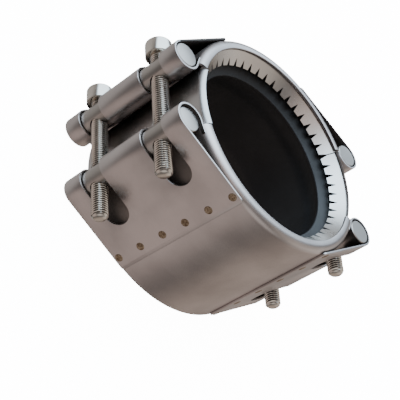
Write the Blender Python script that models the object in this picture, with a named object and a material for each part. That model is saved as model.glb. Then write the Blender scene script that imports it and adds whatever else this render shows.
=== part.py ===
"""Two-lock stainless steel pipe repair clamp for DN100 pipe (108 mm outside diameter).

Z is the pipe axis. The clamp stands on its back end at z = 0. The two locks lie at -X (left)
and +X (right), and the lock screws run along Y with their heads at +Y. The casing comes in an
upper half (+Y) and a lower half (-Y). The left lock is drawn in a little further than the
right one, so each half leans by a small angle about the pipe axis.

Lengths are in millimetres until they are scaled into a mesh, and angles are in degrees.
"""

import math

import bmesh
import bpy
from mathutils import Matrix, Vector

MM = 0.001
Z_TO_Y = Matrix.Rotation(math.radians(-90), 4, "X")

# --- Driving dimensions -------------------------------------------------------------------
WIDTH = 95.0
BORE_X = 1.15                 # pipe axis from the middle of the overall size, along X

CASING_RADIUS = 69.6          # outside of the rolled casing
CASING_SHEET = 1.6
LIP_RADIUS = 62.6             # inside edge of the turned-in end lips
FRONT_CORNER = 4.5            # outside bend radius between casing and lip
BACK_CORNER = 2.2
LIP_END_ANGLE = 21.5          # where a half's lips stop, from the X axis of that half
HALF_TILT = 2.54              # lean of each half about the pipe axis

BAR_PITCH_RADIUS = 77.5       # pipe axis to lock bar axis
BAR_ANGLE = 19.67             # lock bar from the X axis of its half
BAR_RADIUS = 7.6
BAR_LENGTH = 90.0
BAR_CHAMFER = 0.6
BAR_HOLE_RADIUS = {"upper": 5.6, "lower": 5.35}
BAR_BACK_END = {
    ("upper", "left"): 3.2,
    ("upper", "right"): 3.2,
    ("lower", "left"): 1.9,
    ("lower", "right"): 3.2,
}

LOOP_SHEET = 1.4
LOOP_FRONT_END = 1.5          # the folded loops stop short of the casing's ends
LOOP_BACK_END = {
    ("upper", "left"): 1.5,
    ("upper", "right"): 1.5,
    ("lower", "left"): 1.5,
    ("lower", "right"): 3.4,
}
LOOP_ROOT_ANGLE = 36.0        # how far the loop's inner leaf is buried in the casing
STRAP_END_ANGLE = {"left": 59.5, "right": 61.2}
STRAP_BURY = 0.1              # the strap is welded down, so it sinks this far into the casing

SLOT_Z = {"upper": (21.9, 72.0), "lower": (23.2, 72.0)}
SLOT_WIDTH = {"upper": 17.2, "lower": 16.2}
SLOT_REACH = 27.5             # along the straight leaf, to the slot's round end
SLOT_START_ANGLE = 222.0      # round the bar, where the slot begins on the lock side
SLOT_END_TURN = 84.0          # how much of each quarter of the round end is drawn
SLOT_DEPTH = 2.2              # the cutter stands this far off the sheet's middle

SCREW_Z = (21.5, 71.8)
SCREW_RADIUS = 5.0
SCREW_END_Y = {
    ("left", "back"): -50.0,
    ("left", "front"): -48.7,
    ("right", "back"): -49.4,
    ("right", "front"): -49.4,
}
SCREW_CHAMFER = 1.0
HEAD_UNDERSIDE_Y = {
    ("left", "back"): 32.8,
    ("left", "front"): 35.2,
    ("right", "back"): 37.2,
    ("right", "front"): 37.2,
}
HEAD_RADIUS = 7.9
HEAD_HEIGHT = 10.0
HEAD_EDGE = 0.8
SOCKET_ACROSS_FLATS = 8.0
SOCKET_DEPTH = 5.0

BRIDGE_RADIUS = 65.9
BRIDGE_SHIFT = 0.5            # the plates sit this far to the right of the pipe axis
BRIDGE_SHEET = 1.1
BRIDGE_FRONT_CORNER = 4.2
BRIDGE_BACK_CORNER = 2.0
BRIDGE_LIP_RADIUS = 62.7
BRIDGE_LIP_ANGLE = {"left": 18.1, "right": 23.5}    # lips end here, short of the casing's
BRIDGE_HALF_ANGLE = 34.0
BRIDGE_TUCK = 3.6             # under the casing the plate is narrower, by this at each end
BRIDGE_TUCK_CORNER = 1.2
BRIDGE_TUCK_LIP = 64.6        # and its lips are cut off in the bend
BRIDGE_STEP = 0.1             # degrees, for each of these two changes of section

SLEEVE_RADIUS = 64.0
SLEEVE_END = 11.0             # sleeve's end face from the casing's end face
SLEEVE_BORE = 57.6
SLEEVE_SLIT_ANGLE = 180.0
SLEEVE_SLIT_WIDTH = 0.8       # degrees
SEAL_LIP_RADIUS = 54.3
SEAL_LIP_DEPTH = 3.7          # the lip's edge below the sleeve's end face
SEAL_LIP_EDGE = 1.6
SEAL_ROOT_RADIUS = 60.5
SEAL_BACK_DEPTH = 11.0

RING_SHEET = 0.8
RING_OUTER = (63.4, 2.4)      # outer edge: radius, depth below the casing's end face
RING_ROOT = (59.8, 5.95)      # tooth roots, likewise
RING_TIP = (56.5, 9.2)        # tooth tips, likewise
RING_JOINT_ANGLE = 23.0       # joint of the half rings, above the X axis on both sides
RING_JOINT_GAP = 0.5          # degrees
TEETH_PER_TURN = 52
TOOTH_TIP_SHARE = 0.62        # width of a tooth's flat tip, as a share of the pitch

ARC_STEP = 5.0
BEND_STEP = 30.0
LOOP_STEP = 18.0
BAR_SIDES = 24
SCREW_SIDES = 20
SHARP_ANGLE = 32.0

# Colour, metallic, roughness
FINISHES = {
    "casing_steel": ((0.36, 0.33, 0.31), 1.0, 0.38),
    "bar_steel": ((0.55, 0.52, 0.48), 1.0, 0.35),
    "screw_steel": ((0.62, 0.58, 0.53), 1.0, 0.22),
    "bridge_steel": ((0.45, 0.44, 0.44), 1.0, 0.35),
    "ring_steel": ((0.62, 0.64, 0.68), 1.0, 0.30),
    "rubber": ((0.015, 0.016, 0.018), 0.0, 0.6),
}


# --- Plane geometry ------------------------------------------------------------------------
def polar(radius, angle, centre=(0.0, 0.0)):
    turn = math.radians(angle)
    return (centre[0] + radius * math.cos(turn), centre[1] + radius * math.sin(turn))


def arc(radius, start, end, step, centre=(0.0, 0.0)):
    """Points along an arc, both ends included."""
    count = max(1, math.ceil(abs(end - start) / step))
    return [polar(radius, start + (end - start) * i / count, centre) for i in range(count + 1)]


BAR_CENTRE = polar(BAR_PITCH_RADIUS, BAR_ANGLE)
LOOP_RADIUS = BAR_PITCH_RADIUS - (CASING_RADIUS - STRAP_BURY) + LOOP_SHEET / 2
LEAF_RADIUS = CASING_RADIUS - STRAP_BURY - LOOP_SHEET / 2
STRAP_RADIUS = CASING_RADIUS - STRAP_BURY + LOOP_SHEET / 2
TANGENT_ANGLE = BAR_ANGLE + math.degrees(
    math.acos((STRAP_RADIUS - LOOP_RADIUS) / BAR_PITCH_RADIUS))


def side_point(point, half, side):
    """Carry a point from the right side of an upright half to its place in the clamp."""
    x, y = point
    if side == "left":
        x = -x
    tilt = math.radians(HALF_TILT)
    turned_x = x * math.cos(tilt) - y * math.sin(tilt)
    turned_y = x * math.sin(tilt) + y * math.cos(tilt)
    return (turned_x, turned_y if half == "upper" else -turned_y)


# --- Meshes ---------------------------------------------------------------------------------
def new_object(name, mesh_data, finish, parent):
    mesh = bpy.data.meshes.new(name)
    bmesh.ops.recalc_face_normals(mesh_data, faces=mesh_data.faces)
    bmesh.ops.scale(mesh_data, vec=Vector((MM, MM, MM)), verts=mesh_data.verts)
    mesh_data.to_mesh(mesh)
    mesh_data.free()
    mesh.shade_smooth()
    mesh.set_sharp_from_angle(angle=math.radians(SHARP_ANGLE))
    if finish:
        mesh.materials.append(finish)
    thing = bpy.data.objects.new(name, mesh)
    bpy.context.collection.objects.link(thing)
    thing.parent = parent
    return thing


def bridged_rings(rings):
    """A solid through rings of points, capped at both ends."""
    solid = bmesh.new()
    rows = [[solid.verts.new(point) for point in ring] for ring in rings]
    count = len(rows[0])
    for first, second in zip(rows, rows[1:]):
        for i in range(count):
            j = (i + 1) % count
            solid.faces.new((first[i], first[j], second[j], second[i]))
    solid.faces.new(rows[0][::-1])
    solid.faces.new(rows[-1])
    return solid


def revolved(profile, angles):
    """Turn a closed (radius, z) profile about Z through the listed angles."""
    rings = [[(*polar(radius, angle), z) for radius, z in profile] for angle in angles]
    return bridged_rings(rings)


def spaced(start, end, step):
    count = math.ceil((end - start) / step)
    return [start + (end - start) * i / count for i in range(count + 1)]


def turned_rod(profile, sides):
    """A solid of revolution about Z from (radius, z) points, capped at both ends."""
    rings = [[(*polar(radius, 360.0 * i / sides), z) for i in range(sides)]
             for radius, z in profile]
    return bridged_rings(rings)


def strip_outline(centre_line, normals, thickness):
    """The outline of a sheet bent along a centre line."""
    half = thickness / 2
    outer = [(x + nx * half, y + ny * half) for (x, y), (nx, ny) in zip(centre_line, normals)]
    inner = [(x - nx * half, y - ny * half) for (x, y), (nx, ny) in zip(centre_line, normals)]
    return outer + inner[::-1]


def cut(thing, cutter, operation="DIFFERENCE"):
    cutter.hide_render = True
    cutter.display_type = "WIRE"
    modifier = thing.modifiers.new(cutter.name, "BOOLEAN")
    modifier.operation = operation
    modifier.solver = "EXACT"
    modifier.object = cutter


def finish_material(name):
    colour, metallic, roughness = FINISHES[name]
    material = bpy.data.materials.new(name)
    material.use_nodes = True
    shader = material.node_tree.nodes["Principled BSDF"]
    shader.inputs["Base Color"].default_value = (*colour, 1.0)
    shader.inputs["Metallic"].default_value = metallic
    shader.inputs["Roughness"].default_value = roughness
    return material


# --- Casing ---------------------------------------------------------------------------------
def channel_profile():
    """Rolled casing section: a wall with a lip turned in at each end."""
    front = (CASING_RADIUS - FRONT_CORNER, WIDTH - FRONT_CORNER)
    back = (CASING_RADIUS - BACK_CORNER, BACK_CORNER)
    profile = [(LIP_RADIUS, WIDTH)]
    profile += arc(FRONT_CORNER, 90, 0, BEND_STEP, front)
    profile += arc(BACK_CORNER, 0, -90, BEND_STEP, back)
    profile += [(LIP_RADIUS, 0.0), (LIP_RADIUS, CASING_SHEET)]
    profile += arc(BACK_CORNER - CASING_SHEET, -90, 0, BEND_STEP, back)
    profile += arc(FRONT_CORNER - CASING_SHEET, 0, 90, BEND_STEP, front)
    profile += [(LIP_RADIUS, WIDTH - CASING_SHEET)]
    return profile


def loop_path(side):
    """Centre line of the sheet from the casing, round the lock bar and back, with normals."""
    path = []
    for angle in spaced(-LOOP_ROOT_ANGLE, -BAR_ANGLE, ARC_STEP)[:-1]:
        path.append((polar(LEAF_RADIUS, -angle), polar(-1, -angle)))
    for angle in spaced(BAR_ANGLE + 180, TANGENT_ANGLE + 360, LOOP_STEP):
        path.append((polar(LOOP_RADIUS, angle, BAR_CENTRE), polar(1, angle)))
    for angle in spaced(TANGENT_ANGLE, STRAP_END_ANGLE[side], ARC_STEP):
        path.append((polar(STRAP_RADIUS, angle), polar(1, angle)))
    return path


def loop_solid(half, side):
    path = loop_path(side)
    outline = strip_outline([point for point, _ in path], [n for _, n in path], LOOP_SHEET)
    placed = [side_point(point, half, side) for point in outline]
    ends = (LOOP_BACK_END[half, side], WIDTH - LOOP_FRONT_END)
    return bridged_rings([[(x, y, z) for x, y in placed] for z in ends])


def slot_solid(half, side, middle_z):
    """A ribbon along the loop, as wide as the slot, that narrows to the slot's round end."""
    slot_radius = SLOT_WIDTH[half] / 2
    stations = []
    for angle in spaced(SLOT_START_ANGLE, TANGENT_ANGLE + 360, LOOP_STEP):
        stations.append((polar(LOOP_RADIUS, angle, BAR_CENTRE), polar(1, angle), slot_radius))
    foot = polar(LOOP_RADIUS, TANGENT_ANGLE, BAR_CENTRE)
    outward = polar(1, TANGENT_ANGLE)
    along = polar(1, TANGENT_ANGLE + 90)
    for turn in spaced(0, SLOT_END_TURN, LOOP_STEP):
        reach = SLOT_REACH - slot_radius + slot_radius * math.sin(math.radians(turn))
        point = (foot[0] + along[0] * reach, foot[1] + along[1] * reach)
        stations.append((point, outward, slot_radius * math.cos(math.radians(turn))))
    rings = []
    for (x, y), (nx, ny), half_width in stations:
        near = side_point((x - nx * SLOT_DEPTH, y - ny * SLOT_DEPTH), half, side)
        far = side_point((x + nx * SLOT_DEPTH, y + ny * SLOT_DEPTH), half, side)
        low, high = middle_z - half_width, middle_z + half_width
        rings.append([(*near, low), (*far, low), (*far, high), (*near, high)])
    return bridged_rings(rings)


def make_casing(half, steel, parent):
    start = LIP_END_ANGLE + HALF_TILT
    end = 180 - LIP_END_ANGLE + HALF_TILT
    angles = spaced(start, end, ARC_STEP)
    if half == "lower":
        angles = [-angle for angle in angles]
    casing = new_object(f"{half}_casing", revolved(channel_profile(), angles), steel, parent)
    for side in ("left", "right"):
        loop = new_object(f"{half}_{side}_loop", loop_solid(half, side), None, parent)
        cut(casing, loop, "UNION")
    for side in ("left", "right"):
        for row, middle_z in zip(("back", "front"), SLOT_Z[half]):
            name = f"{half}_{side}_{row}_slot_cutter"
            cut(casing, new_object(name, slot_solid(half, side, middle_z), None, parent))


# --- Lock bars and screws ---------------------------------------------------------------------
def rod_along_y(name, radius, x, z, low, high, parent):
    rod = turned_rod([(radius, low), (radius, high)], SCREW_SIDES)
    bmesh.ops.transform(rod, matrix=Z_TO_Y, verts=rod.verts)
    bmesh.ops.translate(rod, vec=Vector((x, 0.0, z)), verts=rod.verts)
    return new_object(name, rod, None, parent)


def make_bar(half, side, steel, parent):
    centre = side_point(BAR_CENTRE, half, side)
    back = BAR_BACK_END[half, side]
    front = back + BAR_LENGTH
    profile = [
        (BAR_RADIUS - BAR_CHAMFER, back),
        (BAR_RADIUS, back + BAR_CHAMFER),
        (BAR_RADIUS, front - BAR_CHAMFER),
        (BAR_RADIUS - BAR_CHAMFER, front),
    ]
    rod = turned_rod(profile, BAR_SIDES)
    bmesh.ops.translate(rod, vec=Vector((*centre, 0.0)), verts=rod.verts)
    bar = new_object(f"{half}_{side}_lock_bar", rod, steel, parent)
    reach = 2 * BAR_RADIUS
    for row, z in zip(("back", "front"), SCREW_Z):
        name = f"{half}_{side}_{row}_bar_hole"
        radius = BAR_HOLE_RADIUS[half]
        drill = rod_along_y(name, radius, centre[0], z, centre[1] - reach, centre[1] + reach, parent)
        cut(bar, drill)


def make_screw(side, row, z, steel, parent):
    """Socket-head cap screw; its object stands on the screw's own axis."""
    end, underside = SCREW_END_Y[side, row], HEAD_UNDERSIDE_Y[side, row]
    top = underside + HEAD_HEIGHT
    profile = [
        (SCREW_RADIUS - SCREW_CHAMFER, end),
        (SCREW_RADIUS, end + SCREW_CHAMFER),
        (SCREW_RADIUS, underside),
        (HEAD_RADIUS, underside),
        (HEAD_RADIUS, top - HEAD_EDGE),
        (HEAD_RADIUS - HEAD_EDGE, top),
    ]
    socket_radius = SOCKET_ACROSS_FLATS / math.sqrt(3)
    parts = {
        f"{side}_{row}_screw": (turned_rod(profile, SCREW_SIDES), steel),
        f"{side}_{row}_socket_cutter": (
            turned_rod([(socket_radius, top - SOCKET_DEPTH), (socket_radius, top + 1)], 6), None),
    }
    things = []
    for name, (solid, finish) in parts.items():
        bmesh.ops.transform(solid, matrix=Z_TO_Y, verts=solid.verts)
        thing = new_object(name, solid, finish, parent)
        thing.location = Vector((side_point(BAR_CENTRE, "upper", side)[0], 0.0, z)) * MM
        things.append(thing)
    screw, socket = things
    cut(screw, socket)


# --- Bridge plates, sleeve and grip rings -------------------------------------------------------
def bridge_profile(tuck, front_corner, back_corner, lip_radius):
    """Plate section: a wall with a lip turned in at each end, drawn in by tuck at both ends.

    The front bend stops at the lip's radius, so a wide bend leaves a slanted lip.
    """
    bottom, top = tuck, WIDTH - tuck
    rise = max(0.0, (lip_radius - BRIDGE_RADIUS) / front_corner + 1)
    sweep = math.degrees(math.acos(rise))
    step = BEND_STEP * sweep / 89.9
    front = (BRIDGE_RADIUS - front_corner, top - front_corner * math.sin(math.radians(sweep)))
    back = (BRIDGE_RADIUS - back_corner, bottom + back_corner)
    profile = arc(front_corner, sweep, 0, step, front)
    profile += arc(back_corner, 0, -90, BEND_STEP, back)
    profile += [(lip_radius, bottom), (lip_radius, bottom + BRIDGE_SHEET)]
    profile += arc(back_corner - BRIDGE_SHEET, -90, 0, BEND_STEP, back)
    profile += arc(front_corner - BRIDGE_SHEET, 0, sweep, step, front)
    return profile


def make_bridge(side, steel, parent):
    """Plate with full-width lips between the casing's lips, narrowed to go under the casing."""
    middle = 0.0 if side == "right" else 180.0
    lip_angle = BRIDGE_LIP_ANGLE[side]
    wide = bridge_profile(0.0, BRIDGE_FRONT_CORNER, BRIDGE_BACK_CORNER, BRIDGE_LIP_RADIUS)
    cut_lips = (BRIDGE_TUCK_CORNER, BRIDGE_TUCK_CORNER, BRIDGE_TUCK_LIP)
    plain = bridge_profile(0.0, *cut_lips)
    tucked = bridge_profile(BRIDGE_TUCK, *cut_lips)
    outward = [(lip_angle + BRIDGE_STEP, plain)]
    outward += [(angle, tucked)
                for angle in spaced(lip_angle + 2 * BRIDGE_STEP, BRIDGE_HALF_ANGLE, ARC_STEP)]
    stations = [(-angle, profile) for angle, profile in reversed(outward)]
    stations += [(angle, wide) for angle in spaced(-lip_angle, lip_angle, ARC_STEP)]
    stations += outward
    rings = [[(*polar(radius, middle + angle), z) for radius, z in profile]
             for angle, profile in stations]
    plate = bridged_rings(rings)
    bmesh.ops.translate(plate, vec=Vector((BRIDGE_SHIFT, 0.0, 0.0)), verts=plate.verts)
    new_object(f"{side}_bridge_plate", plate, steel, parent)


def sleeve_profile():
    """Sealing sleeve section with a slanted seal lip inside each end."""
    upper = [
        (SLEEVE_RADIUS, WIDTH - SLEEVE_END),
        (SEAL_ROOT_RADIUS, WIDTH - SLEEVE_END),
        (SEAL_LIP_RADIUS, WIDTH - SLEEVE_END - SEAL_LIP_DEPTH),
        (SEAL_LIP_RADIUS, WIDTH - SLEEVE_END - SEAL_LIP_DEPTH - SEAL_LIP_EDGE),
        (SLEEVE_BORE, WIDTH - SLEEVE_END - SEAL_BACK_DEPTH),
    ]
    lower = [(radius, WIDTH - z) for radius, z in reversed(upper)]
    return upper + lower


def make_sleeve(rubber, parent):
    start = SLEEVE_SLIT_ANGLE + SLEEVE_SLIT_WIDTH / 2
    angles = spaced(start, start + 360 - SLEEVE_SLIT_WIDTH, 2 * ARC_STEP)
    new_object("sealing_sleeve", revolved(sleeve_profile(), angles), rubber, parent)


def ring_section(share):
    """Grip ring section whose toothed edge lies between the tips (0) and the roots (1)."""
    radial, axial = RING_ROOT[0] - RING_TIP[0], RING_TIP[1] - RING_ROOT[1]
    behind = Vector((axial, radial)).normalized() * RING_SHEET
    edge = Vector(RING_TIP).lerp(Vector(RING_ROOT), share)
    outer = Vector(RING_OUTER)
    return [edge, outer, outer + behind, edge + behind]


def ring_solid(start, end, front):
    """Half a conical ring: flat-tipped teeth with V notches along its inner edge."""
    count = round((end - start) / 360 * TEETH_PER_TURN)
    pitch = (end - start) / count
    stations = [(start, 1.0)]
    for i in range(count):
        middle = start + (i + 0.5) * pitch
        tip = pitch * TOOTH_TIP_SHARE / 2
        stations += [(middle - tip, 0.0), (middle + tip, 0.0), (middle + pitch / 2, 1.0)]
    rings = []
    for angle, share in stations:
        section = ring_section(share)
        rings.append([(*polar(radius, angle), WIDTH - depth if front else depth)
                      for radius, depth in section])
    return bridged_rings(rings)


def make_rings(steel, parent):
    gap = RING_JOINT_GAP / 2
    right, left = RING_JOINT_ANGLE, 180 - RING_JOINT_ANGLE
    spans = {"upper": (right + gap, left - gap), "lower": (left + gap, right + 360 - gap)}
    for end in ("front", "back"):
        for half, (start, stop) in spans.items():
            solid = ring_solid(start, stop, end == "front")
            new_object(f"{half}_{end}_grip_ring", solid, steel, parent)


def clear_scene():
    for thing in list(bpy.data.objects):
        bpy.data.objects.remove(thing, do_unlink=True)


def main():
    clear_scene()
    steel = {name: finish_material(name) for name in FINISHES}
    axis = bpy.data.objects.new("pipe_axis", None)
    axis.location = (BORE_X * MM, 0.0, 0.0)
    bpy.context.collection.objects.link(axis)
    for half in ("lower", "upper"):
        make_casing(half, steel["casing_steel"], axis)
        for side in ("left", "right"):
            make_bar(half, side, steel["bar_steel"], axis)
    for side in ("left", "right"):
        make_bridge(side, steel["bridge_steel"], axis)
        for row, z in zip(("back", "front"), SCREW_Z):
            make_screw(side, row, z, steel["screw_steel"], axis)
    make_sleeve(steel["rubber"], axis)
    make_rings(steel["ring_steel"], axis)


main()
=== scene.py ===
"""Looks of the two-lock pipe repair clamp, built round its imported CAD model.

The pipe axis runs along Z and the locks lie at -X (left) and +X (right). Each half's folded
sheet is drawn flat, with its slots and rounded edges, and then bent along its path. Lengths
are in millimetres until they are scaled into a mesh, and angles are in degrees.
"""
import math

import bmesh
import bpy
from mathutils import Matrix, Vector


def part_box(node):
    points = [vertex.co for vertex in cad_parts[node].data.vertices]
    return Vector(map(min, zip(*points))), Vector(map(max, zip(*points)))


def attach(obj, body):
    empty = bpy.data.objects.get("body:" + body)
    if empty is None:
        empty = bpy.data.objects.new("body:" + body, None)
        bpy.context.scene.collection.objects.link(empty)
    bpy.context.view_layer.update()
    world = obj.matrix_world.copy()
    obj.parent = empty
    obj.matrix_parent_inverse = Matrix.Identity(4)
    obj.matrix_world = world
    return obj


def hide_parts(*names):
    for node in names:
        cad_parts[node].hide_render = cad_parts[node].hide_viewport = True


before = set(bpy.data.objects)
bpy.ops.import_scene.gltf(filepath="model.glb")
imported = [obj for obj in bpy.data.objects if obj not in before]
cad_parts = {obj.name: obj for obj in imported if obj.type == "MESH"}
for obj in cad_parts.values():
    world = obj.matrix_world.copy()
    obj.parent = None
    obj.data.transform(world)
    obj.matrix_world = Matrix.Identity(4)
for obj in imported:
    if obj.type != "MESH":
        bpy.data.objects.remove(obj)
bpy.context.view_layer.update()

MM = 0.001


# --- Places and sizes read from the frame -------------------------------------------------
def box_mm(node):
    low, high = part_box(node)
    return Vector(low) / MM, Vector(high) / MM


def middle(node):
    low, high = box_mm(node)
    return (low + high) / 2


SLEEVE_LOW, SLEEVE_HIGH = box_mm("sealing_sleeve")
PIPE_AXIS = Vector((middle("sealing_sleeve").x, 0.0))
WIDTH = box_mm("lower_casing")[1].z
CASING_RADIUS = -box_mm("lower_casing")[0].y
BAR_RADIUS = (box_mm("upper_left_lock_bar")[1].x - box_mm("upper_left_lock_bar")[0].x) / 2
SIDES = ("left", "right")
HALVES = ("upper", "lower")
ENDS = ("back", "front")


def bar_middle(half, side):
    place = middle(f"{half}_{side}_lock_bar")
    return Vector((place.x - PIPE_AXIS.x, place.y))


LEFT_ANGLE = math.degrees(math.atan2(bar_middle("upper", "left").y, -bar_middle("upper", "left").x))
RIGHT_ANGLE = math.degrees(math.atan2(bar_middle("upper", "right").y, bar_middle("upper", "right").x))
BAR_ANGLE = (LEFT_ANGLE + RIGHT_ANGLE) / 2
HALF_TILT = (RIGHT_ANGLE - LEFT_ANGLE) / 2
BAR_PITCH_RADIUS = bar_middle("upper", "right").length

# --- Details drawn here -----------------------------------------------------------------------
CASING_SHEET = 1.6
LIP_RADIUS = 62.6             # inside edge of the turned-in lips
LIP_EDGE = 0.45               # rounding of that edge
LIP_SLANT = 0.1
LIP_END_ANGLE = 21.5          # where a half's lips stop, from that half's X axis
FRONT_CORNER = 4.5            # bend between wall and lip
BACK_CORNER = 2.2

LOOP_SHEET = 1.4
LOOP_FRONT_END = 1.5          # the folded loops stop short of the casing's ends
LOOP_BACK_END = {("upper", "left"): 1.5, ("upper", "right"): 1.5,
                 ("lower", "left"): 1.5, ("lower", "right"): 3.4}
LEAF_START_ANGLE = 26.0       # the loop's inner leaf starts inside the casing wall
STRAP_BURY = 0.1              # the strap is welded down, so it sinks this far into the wall
STRAP_END_ANGLE = {"left": 59.5, "right": 61.2}
STRAP_END_SKEW = {("lower", "left"): 1.9}         # how much longer a strap is at the front
STRAP_CORNER = 2.0
SHEET_EDGE = 0.22             # rounding of the loops', straps' and slots' edges

SLOT_Z = {"upper": (21.9, 72.0), "lower": (23.2, 72.0)}
SLOT_WIDTH = {"upper": 17.2, "lower": 16.2}
SLOT_REACH = 27.5             # along the straight leaf, to the slot's round end
SLOT_START_ANGLE = 222.0      # round the bar, where the slot begins on the lock side
SLOT_CORNER = 1.5

WELD_SPOTS = 6
WELD_PITCH = 17.0
WELD_INSET = 4.5              # degrees from the strap's end
WELD_SKEW = {("lower", "left"): 0.045}            # slope of a row against the pipe axis
WELD_PROFILE = ((0.9, 0.07), (1.45, 0.16), (1.9, 0.24), (2.25, 0.12), (2.5, -0.05))
WELD_SIDES = 20

# Distances between the points of a curve: degrees, but millimetres for the last three
TURN_STEP = 1.5
CORNER_STEP = 7.5
EDGE_STEP = 30.0
WALL_STEP = 11.0
FOLD_STEP = 0.9
STRAP_STEP = 1.5

LOOP_RADIUS = BAR_PITCH_RADIUS - (CASING_RADIUS - STRAP_BURY) + LOOP_SHEET / 2
LEAF_RADIUS = CASING_RADIUS - STRAP_BURY - LOOP_SHEET / 2
STRAP_RADIUS = CASING_RADIUS - STRAP_BURY + LOOP_SHEET / 2
TANGENT_ANGLE = BAR_ANGLE + math.degrees(
    math.acos((STRAP_RADIUS - LOOP_RADIUS) / BAR_PITCH_RADIUS))


# --- Plane geometry ---------------------------------------------------------------------------
def polar(radius, angle, centre=(0.0, 0.0)):
    turn = math.radians(angle)
    return (centre[0] + radius * math.cos(turn), centre[1] + radius * math.sin(turn))


def arc(radius, start, end, step, centre=(0.0, 0.0)):
    count = max(1, math.ceil(abs(end - start) / step))
    return [polar(radius, start + (end - start) * i / count, centre) for i in range(count + 1)]


def spaced(start, end, step):
    count = max(1, math.ceil((end - start) / step))
    return [start + (end - start) * i / count for i in range(count + 1)]


def side_point(x, y, half, side):
    """Carry a point from the right side of an upright half to its place in the clamp."""
    if side == "left":
        x = -x
    tilt = math.radians(HALF_TILT)
    turned_x = x * math.cos(tilt) - y * math.sin(tilt)
    turned_y = x * math.sin(tilt) + y * math.cos(tilt)
    return (turned_x + PIPE_AXIS.x, turned_y if half == "upper" else -turned_y)


# --- Meshes -------------------------------------------------------------------------------------
def finish_piece(name, solid, material, body, replaced=(), sharp=40.0, second=None):
    """Make the piece, in metres, with its materials, its body and the CAD node it stands for."""
    bmesh.ops.recalc_face_normals(solid, faces=solid.faces)
    bmesh.ops.scale(solid, vec=Vector((MM, MM, MM)), verts=solid.verts)
    mesh = bpy.data.meshes.new(name)
    solid.to_mesh(mesh)
    solid.free()
    mesh.shade_smooth()
    mesh.set_sharp_from_angle(angle=math.radians(sharp))
    mesh.materials.append(material)
    if second:
        mesh.materials.append(second)
    piece = bpy.data.objects.new(name, mesh)
    bpy.context.collection.objects.link(piece)
    if replaced:
        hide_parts(*replaced)
    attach(piece, body)
    return piece


def bridged_rings(rings):
    """A solid through rings of points, capped at both ends."""
    solid = bmesh.new()
    rows = [[solid.verts.new(point) for point in ring] for ring in rings]
    count = len(rows[0])
    for first, second in zip(rows, rows[1:]):
        for i in range(count):
            j = (i + 1) % count
            solid.faces.new((first[i], first[j], second[j], second[i]))
    solid.faces.new(rows[0][::-1])
    solid.faces.new(rows[-1])
    return solid


def revolved(profile, angles):
    rings = [[(*polar(radius, angle, PIPE_AXIS), z) for radius, z in profile] for angle in angles]
    return bridged_rings(rings)


def turned_rod(profile, sides):
    rings = [[(*polar(radius, 360.0 * i / sides), z) for i in range(sides)]
             for radius, z in profile]
    return bridged_rings(rings)


def boolean(solid, cutter):
    """Cut one bmesh out of another and return the result as a new bmesh."""
    things = []
    for name, source in (("work", solid), ("cutter", cutter)):
        bmesh.ops.recalc_face_normals(source, faces=source.faces)
        mesh = bpy.data.meshes.new(name)
        source.to_mesh(mesh)
        source.free()
        thing = bpy.data.objects.new(name, mesh)
        bpy.context.collection.objects.link(thing)
        things.append(thing)
    work, tool = things
    modifier = work.modifiers.new("cut", "BOOLEAN")
    modifier.operation = "DIFFERENCE"
    modifier.solver = "EXACT"
    modifier.object = tool
    shown = work.evaluated_get(bpy.context.evaluated_depsgraph_get())
    result = bmesh.new()
    result.from_mesh(shown.to_mesh())
    for thing in things:
        mesh = thing.data
        bpy.data.objects.remove(thing)
        bpy.data.meshes.remove(mesh)
    return result


def round_edges(solid, width, least_angle=40.0, segments=2):
    edges = [edge for edge in solid.edges
             if edge.is_manifold and edge.calc_face_angle(0.0) > math.radians(least_angle)]
    bmesh.ops.bevel(solid, geom=edges, offset=width, segments=segments, profile=0.5,
                    affect="EDGES", clamp_overlap=True)


def rounded_outline(corners, steps=6):
    """A polygon with rounded corners from (x, y, radius) points, listed counter-clockwise."""
    points = []
    for i, (x, y, radius) in enumerate(corners):
        here = Vector((x, y))
        before = Vector(corners[i - 1][:2])
        after = Vector(corners[(i + 1) % len(corners)][:2])
        if not radius:
            points.append((x, y))
            continue
        first = here + (before - here).normalized() * radius
        centre = first + (after - here).normalized() * radius
        start = first - centre
        for k in range(steps + 1):
            turn = Matrix.Rotation(math.radians(90.0 * k / steps), 2)
            points.append(tuple(centre + turn @ start))
    return [point for i, point in enumerate(points) if math.dist(point, points[i - 1]) > 1e-4]


def slab(outline, low, high):
    return bridged_rings([[(x, y, z) for x, y in outline] for z in (low, high)])


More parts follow.
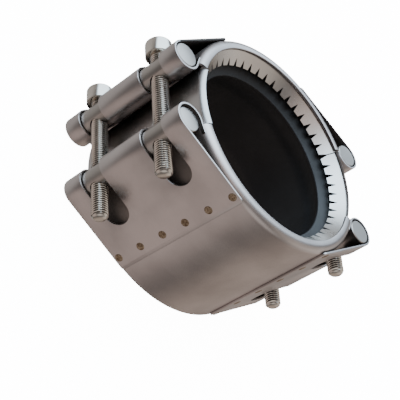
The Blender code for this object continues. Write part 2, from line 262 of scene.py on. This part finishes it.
# --- The folded sheet -----------------------------------------------------------------------------
class SheetPath:
    """Centre line of a half's sheet from the casing, round the bar and back to the strap's end.

    A place on it is a distance from the start; it gives a point and the outward normal.
    """

    def __init__(self, side):
        bar = polar(BAR_PITCH_RADIUS, BAR_ANGLE)
        turn = TANGENT_ANGLE + 360 - (BAR_ANGLE + 180)
        straight = math.sqrt(BAR_PITCH_RADIUS ** 2 - (STRAP_RADIUS - LOOP_RADIUS) ** 2)
        self.bar = bar
        self.leaf = math.radians(LEAF_START_ANGLE - BAR_ANGLE) * LEAF_RADIUS
        self.wrap = self.leaf + math.radians(turn) * LOOP_RADIUS
        self.tangent = self.wrap + straight
        strap_turn = math.radians(STRAP_END_ANGLE[side] - TANGENT_ANGLE)
        self.end = self.tangent + strap_turn * STRAP_RADIUS

    def at(self, place):
        if place < self.leaf:
            angle = LEAF_START_ANGLE - math.degrees(place / LEAF_RADIUS)
            return polar(LEAF_RADIUS, angle), polar(-1, angle)
        if place < self.wrap:
            angle = BAR_ANGLE + 180 + math.degrees((place - self.leaf) / LOOP_RADIUS)
            return polar(LOOP_RADIUS, angle, self.bar), polar(1, angle)
        if place < self.tangent:
            foot = polar(LOOP_RADIUS, TANGENT_ANGLE, self.bar)
            along = polar(place - self.wrap, TANGENT_ANGLE + 90)
            return (foot[0] + along[0], foot[1] + along[1]), polar(1, TANGENT_ANGLE)
        angle = TANGENT_ANGLE + math.degrees((place - self.tangent) / STRAP_RADIUS)
        return polar(STRAP_RADIUS, angle), polar(1, angle)

    def wrapped(self, angle):
        """The place where the sheet passes an angle round the bar."""
        return self.leaf + math.radians(angle - BAR_ANGLE - 180) * LOOP_RADIUS


PATHS = {side: SheetPath(side) for side in SIDES}
FOLD_MARGIN = 1.0             # the cuts for a fold run this far into its straight neighbour
FRONT_EDGE = WIDTH - LOOP_FRONT_END - SHEET_EDGE
INNER_FACE = SHEET_EDGE - LOOP_SHEET / 2 + 0.01


def flat_sheet(half, side):
    """The loop and strap laid flat: x along the path, y along the pipe axis, z through it."""
    path = PATHS[side]
    low, high = LOOP_BACK_END[half, side], WIDTH - LOOP_FRONT_END
    skew = STRAP_END_SKEW.get((half, side), 0.0)
    outline = rounded_outline([
        (0.0, low, 0.0), (path.end, low, STRAP_CORNER),
        (path.end + skew, high, STRAP_CORNER), (0.0, high, 0.0)])
    solid = slab(outline, -LOOP_SHEET / 2, LOOP_SHEET / 2)
    slot_start = path.wrapped(SLOT_START_ANGLE)
    slot_end = path.wrap + SLOT_REACH
    half_width = SLOT_WIDTH[half] / 2
    for slot_middle in SLOT_Z[half]:
        near, far = slot_middle - half_width, slot_middle + half_width
        slot = rounded_outline([
            (slot_start, near, SLOT_CORNER), (slot_end, near, half_width),
            (slot_end, far, half_width), (slot_start, far, SLOT_CORNER)], steps=12)
        solid = boolean(solid, slab(slot, -LOOP_SHEET, LOOP_SHEET))
    round_edges(solid, SHEET_EDGE)
    bends = spaced(0.0, path.wrap + FOLD_MARGIN, FOLD_STEP)[1:]
    bends += spaced(path.tangent - FOLD_MARGIN, path.end, STRAP_STEP)[:-1]
    for cut in bends:
        geometry = solid.verts[:] + solid.edges[:] + solid.faces[:]
        bmesh.ops.bisect_plane(solid, geom=geometry, dist=1e-5, plane_co=(cut, 0, 0),
                               plane_no=(1, 0, 0))
    return solid


def bent_sheet(half, side):
    """The sheet bent along its path; its inner faces and the upper straps' front edges carry painted shade.
    """
    solid = flat_sheet(half, side)
    for face in solid.faces:
        inside = all(vertex.co.z < INNER_FACE for vertex in face.verts)
        spot = face.calc_center_median()
        shade_front_edge = half == "upper" and spot.x > PATHS[side].wrap and spot.y > FRONT_EDGE
        # Faces towards the casing and the upper straps' front edges take the second material: painted
        # shade, a dark copy of the steel.
        face.material_index = int(inside or shade_front_edge)
    for vertex in solid.verts:
        (x, y), (nx, ny) = PATHS[side].at(vertex.co.x)
        offset = vertex.co.z
        placed = side_point(x + nx * offset, y + ny * offset, half, side)
        vertex.co = Vector((*placed, vertex.co.y))
    return solid


def channel_profile():
    """Rolled casing section with rounded lip edges: outside first, then inside."""
    front = (CASING_RADIUS - FRONT_CORNER, WIDTH - FRONT_CORNER)
    back = (CASING_RADIUS - BACK_CORNER, BACK_CORNER)
    edge = LIP_EDGE
    profile = arc(edge, 180, 90, EDGE_STEP, (LIP_RADIUS + edge, WIDTH - edge))
    profile += arc(FRONT_CORNER, 90, 0, CORNER_STEP, front)
    profile += [(CASING_RADIUS, z) for z in spaced(back[1], front[1], WALL_STEP)[-2:0:-1]]
    profile += arc(BACK_CORNER, 0, -90, CORNER_STEP, back)
    profile += arc(edge, 270, 180, EDGE_STEP, (LIP_RADIUS + edge, edge))
    profile += [(LIP_RADIUS + LIP_SLANT, CASING_SHEET)]
    profile += arc(BACK_CORNER - CASING_SHEET, -90, 0, 2 * CORNER_STEP, back)
    profile += arc(FRONT_CORNER - CASING_SHEET, 0, 90, 2 * CORNER_STEP, front)
    profile += [(LIP_RADIUS + LIP_SLANT, WIDTH - CASING_SHEET)]
    return profile


def make_casing(half, steel, shaded, inside, weld_mark):
    """Wall with its two folded straps; the wall takes painted shade where a strap covers it."""
    body = f"{half}_half"
    angles = spaced(LIP_END_ANGLE + HALF_TILT, 180 - LIP_END_ANGLE + HALF_TILT, TURN_STEP)
    if half == "lower":
        angles = [-angle for angle in angles]
    wall = revolved(channel_profile(), angles)
    for face in wall.faces:
        place = face.calc_center_median()
        outward = Vector((place.x - PIPE_AXIS.x, place.y))
        lean = HALF_TILT if outward.x > 0 else -HALF_TILT
        angle = math.degrees(math.atan2(abs(outward.y), abs(outward.x))) - lean
        on_outside = outward.length > CASING_RADIUS - 0.2
        # Outside faces under the straps get the shaded copy of the steel: painted shade.
        face.material_index = int(on_outside and angle < TANGENT_ANGLE)
    finish_piece(f"{half}_casing_wall", wall, steel, body, (f"{half}_casing",), second=shaded)
    for side in SIDES:
        # The straps' second material is painted shade.
        finish_piece(f"{half}_{side}_folded_strap", bent_sheet(half, side), steel, body,
                     second=inside)
        make_welds(half, side, weld_mark, body)


def make_welds(half, side, weld_mark, body):
    """A row of spot-weld craters: a low rim round a dished middle."""
    path = PATHS[side]
    row = path.end - math.radians(WELD_INSET) * STRAP_RADIUS
    solid = bmesh.new()
    for i in range(WELD_SPOTS):
        from_middle = (i - (WELD_SPOTS - 1) / 2) * WELD_PITCH
        place = row + from_middle * WELD_SKEW.get((half, side), 0.0)
        rings = []
        for radius, height in WELD_PROFILE:
            ring = []
            for k in range(WELD_SIDES):
                across, along = polar(radius, 360.0 * k / WELD_SIDES)
                (x, y), (nx, ny) = path.at(place + across)
                lift = LOOP_SHEET / 2 + height
                point = side_point(x + nx * lift, y + ny * lift, half, side)
                ring.append(solid.verts.new((*point, WIDTH / 2 + from_middle + along)))
            rings.append(ring)
        for first, second in zip(rings, rings[1:]):
            for k in range(WELD_SIDES):
                m = (k + 1) % WELD_SIDES
                solid.faces.new((first[k], first[m], second[m], second[k]))
        solid.faces.new(rings[0])
        solid.faces.new(rings[-1][::-1])
    finish_piece(f"{half}_{side}_spot_welds", solid, weld_mark, body,
                 sharp=70.0)


# --- Lock bars and screws ---------------------------------------------------------------------------
BAR_EDGE = 0.5
BAR_SIDES = 96
BAR_HOLE_RADIUS = {"upper": 5.6, "lower": 5.35}
BAR_HOLE_EDGE = 0.2
BAR_HOLE_SIDES = 64
THREAD_PITCH = 1.5
THREAD_DEPTH = 0.85
THREAD_CREST = 0.14           # flat crest, then flank, as shares of half a pitch
THREAD_FLANK = 0.66
THREAD_ROUNDING = 0.9
THREAD_GROOVE = 0.62          # deeper than this share of the depth, the thread gets painted shade and dirt
THREAD_STEPS = 10
SCREW_SIDES = 40
SCREW_RADIUS = 4.93
SCREW_CHAMFER = 1.3
HEAD_HEIGHT = 10.0
HEAD_EDGE = 1.0
HEAD_BASE_EDGE = 0.35
NECK = 0.3                    # step from the shank out to the head's flat underside
SOCKET_ACROSS_FLATS = 8.0
SOCKET_DEPTH = 5.0
Z_TO_Y = Matrix.Rotation(math.radians(-90), 4, "X")


def make_bar(half, side, steel):
    node = f"{half}_{side}_lock_bar"
    low, high = box_mm(node)
    place = middle(node)
    profile = [(BAR_RADIUS - BAR_EDGE, low.z), (BAR_RADIUS, low.z + BAR_EDGE)]
    profile += [(BAR_RADIUS, high.z - BAR_EDGE), (BAR_RADIUS - BAR_EDGE, high.z)]
    solid = turned_rod(profile, BAR_SIDES)
    bmesh.ops.translate(solid, vec=Vector((place.x, place.y, 0.0)), verts=solid.verts)
    radius, reach = BAR_HOLE_RADIUS[half], 1.5 * BAR_RADIUS
    for row in ENDS:
        screw = middle(f"{side}_{row}_screw")
        drill = turned_rod([(radius, -reach), (radius, reach)], BAR_HOLE_SIDES)
        bmesh.ops.transform(drill, matrix=Z_TO_Y, verts=drill.verts)
        bmesh.ops.translate(drill, vec=Vector((screw.x, place.y, screw.z)), verts=drill.verts)
        solid = boolean(solid, drill)
    round_edges(solid, BAR_HOLE_EDGE, least_angle=25.0)
    finish_piece(node + "_turned", solid, steel, f"{half}_half", (node,), sharp=30.0)


def thread_radius(phase):
    """Radius on a thread: a flat crest, straight flanks and a rounded root."""
    rise = abs(phase % 1.0 - 0.5) * 2
    down = min(1.0, max(0.0, (rise - THREAD_CREST) / THREAD_FLANK))
    return SCREW_RADIUS - THREAD_DEPTH * down ** THREAD_ROUNDING


def make_screw(side, row, steel, groove):
    """Cap screw with a real thread, drawn upright and then laid along Y."""
    node = f"{side}_{row}_screw"
    low, high = box_mm(node)
    place = middle(node)
    head_radius = (high.x - low.x) / 2
    underside = high.y - HEAD_HEIGHT
    rows = []
    for y in spaced(low.y, underside, THREAD_PITCH / THREAD_STEPS):
        ring = []
        for k in range(SCREW_SIDES):
            turn = k / SCREW_SIDES
            here = thread_radius(y / THREAD_PITCH - turn)
            here = min(here, SCREW_RADIUS - SCREW_CHAMFER + (y - low.y))
            ring.append((*polar(here, 360.0 * turn), y))
        rows.append(ring)
    base, edge = HEAD_BASE_EDGE, HEAD_EDGE
    head = [(SCREW_RADIUS + NECK, underside), (head_radius - base, underside)]
    head += arc(base, -60, 0, EDGE_STEP, (head_radius - base, underside + base))
    head += arc(edge, 0, 90, EDGE_STEP / 2, (head_radius - edge, high.y - edge))
    for ring_radius, y in head:
        rows.append([(*polar(ring_radius, 360.0 * k / SCREW_SIDES), y)
                     for k in range(SCREW_SIDES)])
    solid = bridged_rings(rows)
    socket_radius = SOCKET_ACROSS_FLATS / math.sqrt(3)
    floor, above = high.y - SOCKET_DEPTH, high.y + 1
    solid = boolean(solid, turned_rod([(socket_radius, floor), (socket_radius, above)], 6))
    for face in solid.faces:
        spot = face.calc_center_median()
        depth = SCREW_RADIUS - math.hypot(spot.x, spot.y)
        in_thread = low.y + SCREW_CHAMFER < spot.z < underside
        # Thread roots take a dark copy of the steel: painted shade, with dirt.
        face.material_index = int(in_thread and depth > THREAD_DEPTH * THREAD_GROOVE)
    bmesh.ops.transform(solid, matrix=Z_TO_Y, verts=solid.verts)
    bmesh.ops.translate(solid, vec=Vector((place.x, 0.0, place.z)), verts=solid.verts)
    finish_piece(node + "_threaded", solid, steel, f"screw_{side}_{row}", (node,), sharp=50.0,
                 second=groove)


# --- Bridge plates, sleeve and grip rings ---------------------------------------------------------------
BRIDGE_SHEET = 1.1
BRIDGE_EDGE = 0.3
BRIDGE_FRONT_CORNER = 4.2
BRIDGE_BACK_CORNER = 2.0
BRIDGE_LIP_RADIUS = 62.7
BRIDGE_LIP_ANGLE = {"left": 18.1, "right": 23.5}    # lips end here, short of the casing's
BRIDGE_TUCK = 3.6             # under the casing the plate is narrower, by this at each end
BRIDGE_TUCK_CORNER = 1.2
BRIDGE_TUCK_LIP = 64.6        # and its lips are cut off in the bend
BRIDGE_CHANGE = 0.1           # degrees, for each of these two changes of section
BRIDGE_STEP = 9.0             # degrees between the points of a bend
STEP_SLACK = 1.001            # keeps the points of unequal bends equal in number
BRIDGE_RADIUS = (box_mm("right_bridge_plate")[1].x - box_mm("left_bridge_plate")[0].x) / 2
BRIDGE_AXIS = Vector((box_mm("right_bridge_plate")[1].x - BRIDGE_RADIUS, 0.0))
BRIDGE_HALF_ANGLE = math.degrees(math.asin(box_mm("right_bridge_plate")[1].y / BRIDGE_RADIUS))


def bridge_profile(tuck, front_corner, back_corner, lip_radius):
    """Plate section with a rounded lip edge, drawn in by tuck at both ends.

    The front bend stops at the lip's radius, so a wide bend leaves a slanted lip.
    """
    bottom, top = tuck, WIDTH - tuck
    lean = max(0.0, (lip_radius - BRIDGE_RADIUS) / front_corner + 1)
    sweep = math.degrees(math.acos(lean))
    step = BRIDGE_STEP * STEP_SLACK * sweep / 90
    front = (BRIDGE_RADIUS - front_corner, top - front_corner * math.sin(math.radians(sweep)))
    back = (BRIDGE_RADIUS - back_corner, bottom + back_corner)
    edge = BRIDGE_EDGE
    profile = arc(front_corner, sweep, 0, step, front)
    profile += arc(back_corner, 0, -90, BRIDGE_STEP, back)
    profile += arc(edge, 270, 180, 45, (lip_radius + edge, bottom + edge))
    profile += [(lip_radius, bottom + BRIDGE_SHEET)]
    profile += arc(back_corner - BRIDGE_SHEET, -90, 0, 2 * BRIDGE_STEP, back)
    profile += arc(front_corner - BRIDGE_SHEET, 0, sweep, 2 * step, front)
    return profile


def make_bridge(side, steel):
    """Full-width plate between the casing's lips, narrowed to go under the casing."""
    node = f"{side}_bridge_plate"
    centre = 0.0 if side == "right" else 180.0
    lip_angle = BRIDGE_LIP_ANGLE[side]
    wide = bridge_profile(0.0, BRIDGE_FRONT_CORNER, BRIDGE_BACK_CORNER, BRIDGE_LIP_RADIUS)
    cut_lips = (BRIDGE_TUCK_CORNER, BRIDGE_TUCK_CORNER, BRIDGE_TUCK_LIP)
    plain = bridge_profile(0.0, *cut_lips)
    tucked = bridge_profile(BRIDGE_TUCK, *cut_lips)
    outward = [(lip_angle + BRIDGE_CHANGE, plain)]
    outward += [(angle, tucked)
                for angle in spaced(lip_angle + 2 * BRIDGE_CHANGE, BRIDGE_HALF_ANGLE, TURN_STEP)]
    stations = [(-angle, profile) for angle, profile in reversed(outward)]
    stations += [(angle, wide) for angle in spaced(-lip_angle, lip_angle, TURN_STEP)]
    stations += outward
    rings = [[(*polar(radius, centre + angle, BRIDGE_AXIS), z) for radius, z in profile]
             for angle, profile in stations]
    finish_piece(node + "_rolled", bridged_rings(rings), steel, "sealing_core", (node,))


SEAL_LIP_RADIUS = 53.0
SEAL_LIP_EDGE = 0.8
SLEEVE_BORE = 57.6
SLEEVE_RIDGE = 57.3
SLEEVE_EDGE = 0.6
SLEEVE_STEP = 2.0
SLIT_ANGLE = 180.0
SLIT_WIDTH = 0.8              # degrees


def sleeve_profile():
    """Sleeve section: slanted seal lips at the ends, a recess behind each and low ridges."""
    top, radius = SLEEVE_HIGH.z, (SLEEVE_HIGH.y - SLEEVE_LOW.y) / 2
    upper = [(radius - SLEEVE_EDGE, top), (60.9, top), (60.3, top - 0.2)]
    upper += [(57.4, top - 1.9), (54.6, top - 3.4)]
    upper += arc(SEAL_LIP_EDGE, 100, 260, 20, (SEAL_LIP_RADIUS + SEAL_LIP_EDGE, top - 4.9))
    upper += [(55.6, top - 6.6), (56.6, top - 9.0), (SLEEVE_BORE, top - 11.0)]
    upper += [(SLEEVE_BORE, top - 16.0), (SLEEVE_RIDGE, top - 17.5), (SLEEVE_RIDGE, top - 21.0)]
    upper += [(SLEEVE_BORE, top - 22.5)]
    lower = [(r, WIDTH - z) for r, z in reversed(upper)]
    outside = [(radius, WIDTH - top + SLEEVE_EDGE), (radius, top - SLEEVE_EDGE)]
    return upper + lower + outside


def make_sleeve(rubber):
    start = SLIT_ANGLE + SLIT_WIDTH / 2
    angles = spaced(start, start + 360 - SLIT_WIDTH, SLEEVE_STEP)
    solid = revolved(sleeve_profile(), angles)
    finish_piece("sealing_sleeve_moulded", solid, rubber, "sealing_core", ("sealing_sleeve",),
                 sharp=35.0)


RING_SHEET = 0.4
RING_OUTER = (63.9, 1.95)     # outer edge: radius, depth below the casing's end face
RING_ROOT = (59.8, 5.95)
RING_TIP = (56.5, 9.2)
RING_EDGE = 0.12
RING_JOINT_ANGLE = 23.0
RING_JOINT_GAP = 0.5          # degrees
TEETH_PER_TURN = 52
TOOTH_TIP_SHARE = 0.62        # width of a tooth, as shares of the pitch
TOOTH_ROOT_SHARE = 0.97


def make_ring(half, end, steel):
    """Half a toothed conical ring: a sheet strip whose toothed edge is cut by V notches."""
    gap = RING_JOINT_GAP / 2
    right, left = RING_JOINT_ANGLE, 180 - RING_JOINT_ANGLE
    spans = {"upper": (right + gap, left - gap), "lower": (left + gap, right + 360 - gap)}
    start, stop = spans[half]
    count = round((stop - start) / 360 * TEETH_PER_TURN)
    pitch = (stop - start) / count
    tip = pitch * TOOTH_TIP_SHARE / 2
    root = pitch * TOOTH_ROOT_SHARE / 2
    stations = [(start, 1.0)]
    for i in range(count):
        centre = start + (i + 0.5) * pitch
        stations += [(centre - root, 1.0), (centre - tip, 0.0), (centre, 0.0)]
        stations += [(centre + tip, 0.0), (centre + root, 1.0)]
    stations.append((stop, 1.0))
    radial, axial = RING_ROOT[0] - RING_TIP[0], RING_TIP[1] - RING_ROOT[1]
    behind = Vector((axial, radial)).normalized() * RING_SHEET
    outer = Vector(RING_OUTER)
    rings = []
    for angle, share in stations:
        edge = Vector(RING_TIP).lerp(Vector(RING_ROOT), share)
        section = [edge, edge.lerp(outer, 0.5), outer, outer + behind, edge + behind]
        rings.append([(*polar(radius, angle, PIPE_AXIS), WIDTH - depth if end == "front" else depth)
                      for radius, depth in section])
    solid = bridged_rings(rings)
    bmesh.ops.recalc_face_normals(solid, faces=solid.faces)
    round_edges(solid, RING_EDGE, least_angle=50.0, segments=1)
    node = f"{half}_{end}_grip_ring"
    finish_piece(node + "_stamped", solid, steel, "sealing_core", (node,), sharp=25.0)


# --- Materials ------------------------------------------------------------------------------------------
class Look:
    """A Principled material with short calls for its nodes."""

    def __init__(self, name, colour, metallic, roughness):
        self.material = bpy.data.materials.new("looks_" + name)
        self.material.use_nodes = True
        self.nodes = self.material.node_tree.nodes
        self.links = self.material.node_tree.links
        self.shader = self.nodes["Principled BSDF"]
        self.shader.inputs["Base Color"].default_value = (*colour, 1.0)
        self.shader.inputs["Metallic"].default_value = metallic
        self.shader.inputs["Roughness"].default_value = roughness
        self.place = self.nodes.new("ShaderNodeTexCoord").outputs["Object"]

    def stretched(self, scale):
        mapping = self.nodes.new("ShaderNodeMapping")
        mapping.inputs["Scale"].default_value = scale
        self.links.new(self.place, mapping.inputs["Vector"])
        return mapping.outputs["Vector"]

    def noise(self, scale, detail=3.0, roughness=0.5, stretch=None):
        node = self.nodes.new("ShaderNodeTexNoise")
        node.inputs["Scale"].default_value = scale
        node.inputs["Detail"].default_value = detail
        node.inputs["Roughness"].default_value = roughness
        self.links.new(self.stretched(stretch) if stretch else self.place, node.inputs["Vector"])
        return node.outputs["Fac"]

    def ramp(self, value, stops):
        node = self.nodes.new("ShaderNodeValToRGB")
        ramp = node.color_ramp
        while len(ramp.elements) < len(stops):
            ramp.elements.new(0.5)
        for element, (position, colour) in zip(ramp.elements, stops):
            element.position = position
            element.color = (*colour, 1.0) if len(colour) == 3 else colour
        self.links.new(value, node.inputs["Fac"])
        return node.outputs["Color"]

    def spread(self, value, low, high):
        node = self.nodes.new("ShaderNodeMapRange")
        node.inputs["To Min"].default_value = low
        node.inputs["To Max"].default_value = high
        self.links.new(value, node.inputs["Value"])
        return node.outputs["Result"]

    def bump(self, height, strength, distance):
        node = self.nodes.new("ShaderNodeBump")
        node.inputs["Strength"].default_value = strength
        node.inputs["Distance"].default_value = distance
        self.links.new(height, node.inputs["Height"])
        self.links.new(node.outputs["Normal"], self.shader.inputs["Normal"])

    def into(self, socket, value):
        self.links.new(value, self.shader.inputs[socket])


def grey(value):
    return (value, value, value)


def brushed(name, dark, light, roughness, grain=(60, 60, 900), strength=0.12):
    """Satin stainless: cloudy colour, grain drawn along the sheet and fine scratches."""
    look = Look(name, light, 1.0, sum(roughness) / 2)
    cloud = look.noise(28.0, 4.0)
    look.into("Base Color", look.ramp(cloud, [(0.35, dark), (0.65, light)]))
    grain_value = look.noise(1.0, 4.0, 0.6, grain)
    look.into("Roughness", look.spread(grain_value, *roughness))
    look.bump(grain_value, strength, 0.0002)
    return look.material


def make_materials():
    materials = {
        "casing_steel": brushed("casing_steel", (0.44, 0.403, 0.392), (0.59, 0.542, 0.526),
                                (0.28, 0.42)),
        # Painted shade: a darker copy of the casing steel for the wall under the straps.
        "shaded_steel": brushed("casing_steel_shaded", (0.24, 0.21, 0.195),
                                (0.33, 0.29, 0.27), (0.45, 0.6)),
        # Painted shade: a dark copy of the steel for the straps' inner faces and the upper straps' front
        # edges.
        "strap_painted_shade": brushed("casing_steel_painted_shade", (0.06, 0.053, 0.048),
                                (0.09, 0.08, 0.073), (0.45, 0.6)),
        "bar_steel": brushed("bar_steel", (0.36, 0.335, 0.315), (0.46, 0.43, 0.40),
                             (0.28, 0.42), (700, 700, 60)),
        "screw_steel": brushed("screw_steel", (0.60, 0.56, 0.51), (0.74, 0.70, 0.64),
                               (0.14, 0.24), (200, 200, 200), 0.05),
        # Painted shade with dirt: a dark copy of the screw steel for the thread roots.
        "thread_root_shade_and_dirt": brushed("thread_root_shade_and_dirt", (0.05, 0.04, 0.033), (0.09, 0.072, 0.058),
                                 (0.4, 0.5), (200, 200, 200), 0.05),
        "bridge_steel": brushed("bridge_steel", (0.44, 0.42, 0.41), (0.54, 0.52, 0.51),
                                (0.26, 0.4)),
        "ring_steel": brushed("ring_steel", (0.60, 0.57, 0.54), (0.68, 0.65, 0.62),
                              (0.24, 0.32), (120, 120, 120), 0.03),
    }
    weld = Look("weld_mark", (0.30, 0.21, 0.13), 1.0, 0.5)
    weld.into("Base Color", weld.ramp(weld.noise(900.0), [(0.35, (0.16, 0.11, 0.07)),
                                                          (0.7, (0.45, 0.36, 0.26))]))
    weld.bump(weld.noise(2500.0), 0.4, 0.0003)
    materials["weld_mark"] = weld.material
    rubber = Look("sleeve_rubber", (0.018, 0.019, 0.022), 0.0, 0.55)
    rubber.into("Base Color", rubber.ramp(rubber.noise(40.0), [(0.3, (0.008, 0.008, 0.009)),
                                                               (0.7, (0.016, 0.016, 0.018))]))
    rubber.into("Roughness", rubber.spread(rubber.noise(120.0), 0.46, 0.64))
    rubber.bump(rubber.noise(1800.0, 2.0), 0.12, 0.0002)
    materials["sleeve_rubber"] = rubber.material
    return materials


# --- Stage, light and camera ------------------------------------------------------------------------------
AZIMUTH = -45.81
ELEVATION = 32.63
ROLL = 58.55
DISTANCE = 680.3
LENS = 97.7
LOOK_AT = Vector((PIPE_AXIS.x + 11.84, 5.44, 19.2))


def make_camera():
    side, rise = math.radians(AZIMUTH), math.radians(ELEVATION)
    back = Vector((math.sin(side) * math.cos(rise), -math.cos(side) * math.cos(rise), math.sin(rise)))
    camera = bpy.data.objects.new("camera", bpy.data.cameras.new("camera"))
    camera.data.lens = LENS
    camera.data.sensor_width = 36.0
    camera.data.clip_end = 20.0
    turn = Matrix.Rotation(math.radians(ROLL), 3, back)
    camera.rotation_euler = (turn @ back.to_track_quat("Z", "Y").to_matrix()).to_euler()
    camera.location = (LOOK_AT + back * DISTANCE) * MM
    bpy.context.collection.objects.link(camera)
    bpy.context.scene.camera = camera
    return camera


WHITE_LEVEL = 14.0
FLOOR_REACH = 4.0             # metres, as is the next
FLOOR_DROP = 0.0004


def make_floor():
    """White floor that only the camera sees, so that the studio alone shows in the steel."""
    mesh = bpy.data.meshes.new("floor")
    reach = FLOOR_REACH
    corners = [(-reach, -reach, 0), (reach, -reach, 0), (reach, reach, 0), (-reach, reach, 0)]
    mesh.from_pydata(corners, [], [(0, 1, 2, 3)])
    floor = bpy.data.objects.new("floor", mesh)
    floor.location = (0, 0, -FLOOR_DROP)
    floor.visible_glossy = False
    floor.visible_diffuse = False
    floor.visible_shadow = False
    bpy.context.collection.objects.link(floor)
    look = Look("floor_white", grey(0.9), 0.0, 0.9)
    look.shader.inputs["Emission Color"].default_value = (1, 1, 1, 1)
    look.shader.inputs["Emission Strength"].default_value = WHITE_LEVEL
    mesh.materials.append(look.material)


# Studio panels: azimuth, elevation, radius of the even part, radius of the soft edge, colour.
# The ceiling's panels also fade out towards the horizon.
AMBIENT = (0.155, 0.145, 0.14)
CEILING_PANELS = (
    (100.0, 42.0, 24.0, 64.0, (3.05, 3.85, 4.6)),
    (-140.0, 64.0, 8.0, 30.0, (0.62, 0.50, 0.44)),
)
WALL_PANELS = (
    (-25.0, 30.0, 16.0, 38.0, (0.52, 0.465, 0.41)),
    (-90.0, 6.0, 12.0, 34.0, (0.70, 0.66, 0.63)),
    (-30.0, 0.0, 10.0, 32.0, (0.34, 0.32, 0.30)),
    (8.0, 0.0, 10.0, 32.0, (0.50, 0.49, 0.47)),
    (-122.0, -38.0, 14.0, 36.0, (0.46, 0.375, 0.345)),
    (-20.0, -38.0, 18.0, 42.0, (0.34, 0.27, 0.225)),
    (104.0, -38.0, 30.0, 76.0, (0.42, 0.41, 0.40)),
)
HORIZON = (0.30, 0.50)        # height of the ceiling panels' lower edge, as a soft band


def make_light():
    """A dim room with soft-edged panels round it, behind a white cyclorama."""
    world = bpy.data.worlds.new("studio")
    world.use_nodes = True
    bpy.context.scene.world = world
    nodes, links = world.node_tree.nodes, world.node_tree.links
    direction = nodes.new("ShaderNodeTexCoord").outputs["Generated"]

    def faded(value, start, full):
        fade = nodes.new("ShaderNodeMapRange")
        fade.interpolation_type = "SMOOTHSTEP"
        fade.inputs["From Min"].default_value = start
        fade.inputs["From Max"].default_value = full
        links.new(value, fade.inputs["Value"])
        return fade.outputs["Result"]

    def add_panels(panels, total):
        for azimuth, elevation, even, edge, colour in panels:
            side, rise = math.radians(azimuth), math.radians(elevation)
            facing = nodes.new("ShaderNodeVectorMath")
            facing.operation = "DOT_PRODUCT"
            facing.inputs[1].default_value = (math.cos(side) * math.cos(rise),
                                              math.sin(side) * math.cos(rise), math.sin(rise))
            links.new(direction, facing.inputs[0])
            soft = faded(facing.outputs["Value"], math.cos(math.radians(edge)),
                         math.cos(math.radians(even)))
            panel = nodes.new("ShaderNodeVectorMath")
            panel.operation = "MULTIPLY_ADD"
            panel.inputs[1].default_value = colour
            links.new(soft, panel.inputs[0])
            if total:
                links.new(total, panel.inputs[2])
            total = panel.outputs["Vector"]
        return total

    height = nodes.new("ShaderNodeSeparateXYZ")
    links.new(direction, height.inputs["Vector"])
    ceiling = nodes.new("ShaderNodeVectorMath")
    ceiling.operation = "MULTIPLY_ADD"
    ceiling.inputs[2].default_value = AMBIENT
    links.new(add_panels(CEILING_PANELS, None), ceiling.inputs[0])
    links.new(faded(height.outputs["Z"], *HORIZON), ceiling.inputs[1])
    total = add_panels(WALL_PANELS, ceiling.outputs["Vector"])
    room = nodes["Background"]
    links.new(total, room.inputs["Color"])
    seen = nodes.new("ShaderNodeBackground")
    seen.inputs["Color"].default_value = (1, 1, 1, 1)
    seen.inputs["Strength"].default_value = WHITE_LEVEL
    path = nodes.new("ShaderNodeLightPath")
    mix = nodes.new("ShaderNodeMixShader")
    links.new(path.outputs["Is Camera Ray"], mix.inputs[0])
    links.new(room.outputs[0], mix.inputs[1])
    links.new(seen.outputs[0], mix.inputs[2])
    links.new(mix.outputs[0], nodes["World Output"].inputs["Surface"])


def main():
    materials = make_materials()
    for half in HALVES:
        make_casing(half, materials["casing_steel"], materials["shaded_steel"],
                    materials["strap_painted_shade"], materials["weld_mark"])
        for side in SIDES:
            make_bar(half, side, materials["bar_steel"])
        for end in ENDS:
            make_ring(half, end, materials["ring_steel"])
    for side in SIDES:
        make_bridge(side, materials["bridge_steel"])
        for row in ENDS:
            make_screw(side, row, materials["screw_steel"], materials["thread_root_shade_and_dirt"])
    make_sleeve(materials["sleeve_rubber"])
    make_floor()
    make_light()
    make_camera()


main()
